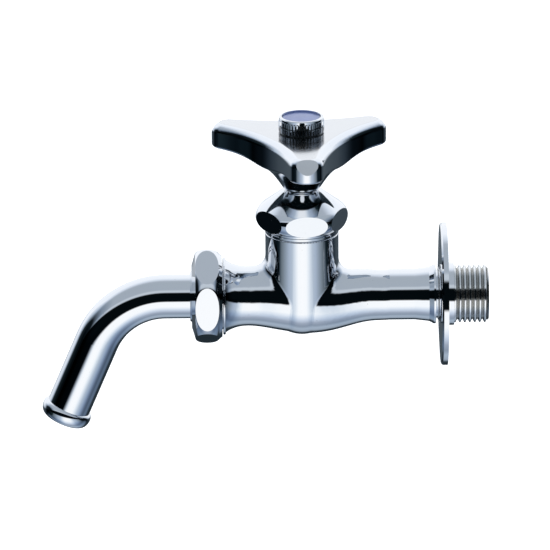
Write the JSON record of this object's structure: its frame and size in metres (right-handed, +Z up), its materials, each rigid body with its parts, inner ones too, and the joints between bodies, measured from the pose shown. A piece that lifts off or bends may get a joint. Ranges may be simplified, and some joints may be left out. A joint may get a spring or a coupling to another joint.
{
  "type": "hose bib",
  "caption": "Chromed wall tap with a three-armed handle, a union nut and a downturned turning spout, a round wall flange and a threaded inlet.",
  "frame": {"origin": "on the inlet axis, in the plane of the wall, which is the back face of the wall flange's rim", "axes": "+X along the inlet into the wall, +Z up along the valve, so the spout leaves towards -X"},
  "size_m": [0.1632, 0.0618, 0.1181],
  "materials": {
    "chrome_body": "polished nickel-chrome plate on cast brass; the inlet thread is duller",
    "chrome_nut": "polished plate on turned brass",
    "chrome_handle": "polished plate on cast handle",
    "chrome_knurl": "polished plate, straight knurl",
    "chrome_spout": "polished plate on drawn brass tube",
    "chrome_flange": "polished plate on pressed brass sheet",
    "brass": "machined, unplated",
    "rubber": "moulded, matt",
    "fibre": "pressed fibre, matt",
    "blue_index": "glossy periwinkle blue"
  },
  "bodies": {
    "root": {"valve_body": "chrome_body", "bonnet_nut": "chrome_nut", "bonnet_gasket": "fibre", "packing_washer": "brass", "gland_packing": "rubber", "spout_nut": "chrome_nut", "spout_packing": "rubber", "spout_slip_ring": "brass"},
    "spout": {"spout_tube": "chrome_spout", "spout_collar": "brass", "spout_nose_ring": "chrome_spout"},
    "jumper": {"jumper_valve": "brass", "jumper_washer": "rubber", "jumper_plate": "brass", "jumper_nut": "brass"},
    "spindle": {"spindle": "brass", "handle": "chrome_handle", "handle_screw": "chrome_knurl", "index_disc": "blue_index"},
    "flange": {"wall_flange": "chrome_flange"}
  },
  "joints": [
    {"name": "spout_swivel", "type": "hinge", "parent": "root", "child": "spout", "pos_m": [-0.085, 0, 0], "axis": [1, 0, 0], "continuous": true},
    {"name": "jumper_lift", "type": "slide", "parent": "root", "child": "jumper", "axis": [0, 0, 1], "range_m": [0, 0.006]},
    {"name": "handle_turn", "type": "hinge", "parent": "jumper", "child": "spindle", "pos_m": [-0.0528, 0, 0.05], "axis": [0, 0, 1], "range_deg": [0, 540]},
    {"name": "flange_feed", "type": "slide", "parent": "root", "child": "flange", "axis": [1, 0, 0], "range_m": [0, 0.01]}
  ],
  "couplings": [
    {"joint": "jumper_lift", "follows": "handle_turn", "m_per_rad": 0.0006366}
  ]
}
